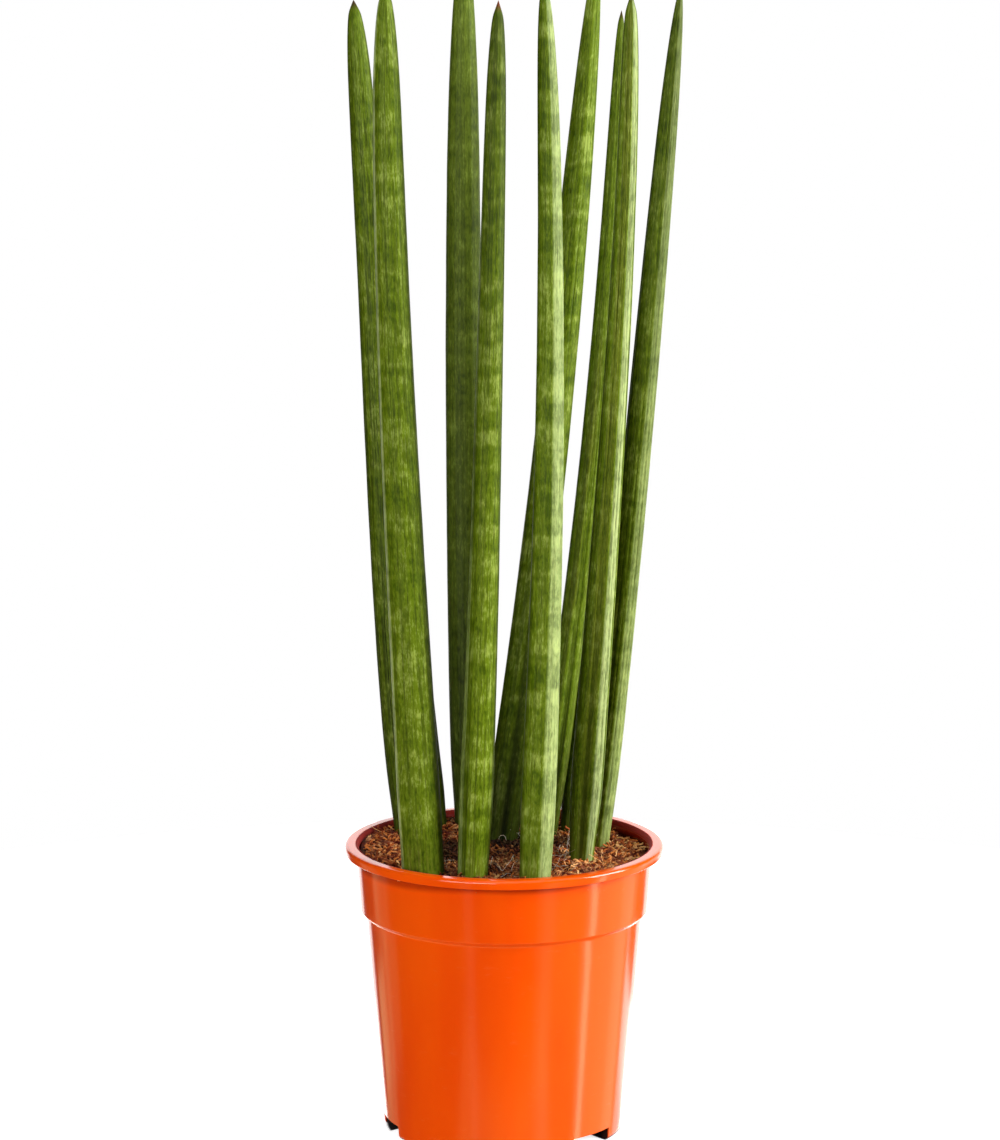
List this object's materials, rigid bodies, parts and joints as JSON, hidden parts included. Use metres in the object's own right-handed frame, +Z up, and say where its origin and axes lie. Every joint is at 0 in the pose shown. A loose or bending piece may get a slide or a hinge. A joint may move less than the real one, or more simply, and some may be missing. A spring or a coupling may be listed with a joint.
{
  "type": "potted cylindrical snake plant",
  "caption": "Upright succulent with tall cylindrical, pointed, ridged leaves, rooted in coir mix in a round plastic nursery pot with a rolled lip and drain notches.",
  "frame": {"origin": "on the surface that the pot stands on, on the pot's axis", "axes": "+Z up along the pot's axis, -Y the front of the plant, +X its right-hand side"},
  "size_m": [0.1762, 0.17, 0.629],
  "materials": {
    "pot_plastic": "semi-gloss moulded",
    "coir_mix": "rough loose coir chips and fibres",
    "leaf_green": "waxy banded leaf skin"
  },
  "bodies": {
    "root": {"pot": "pot_plastic", "soil": "coir_mix", "leaf_left_back": "leaf_green", "leaf_left_front": "leaf_green", "leaf_left_short": "leaf_green", "leaf_centre_back": "leaf_green", "leaf_centre_front": "leaf_green", "leaf_middle_front": "leaf_green", "leaf_middle_back": "leaf_green", "leaf_right_back": "leaf_green", "leaf_right_short": "leaf_green", "leaf_right_front": "leaf_green", "leaf_far_right": "leaf_green"}
  },
  "joints": []
}
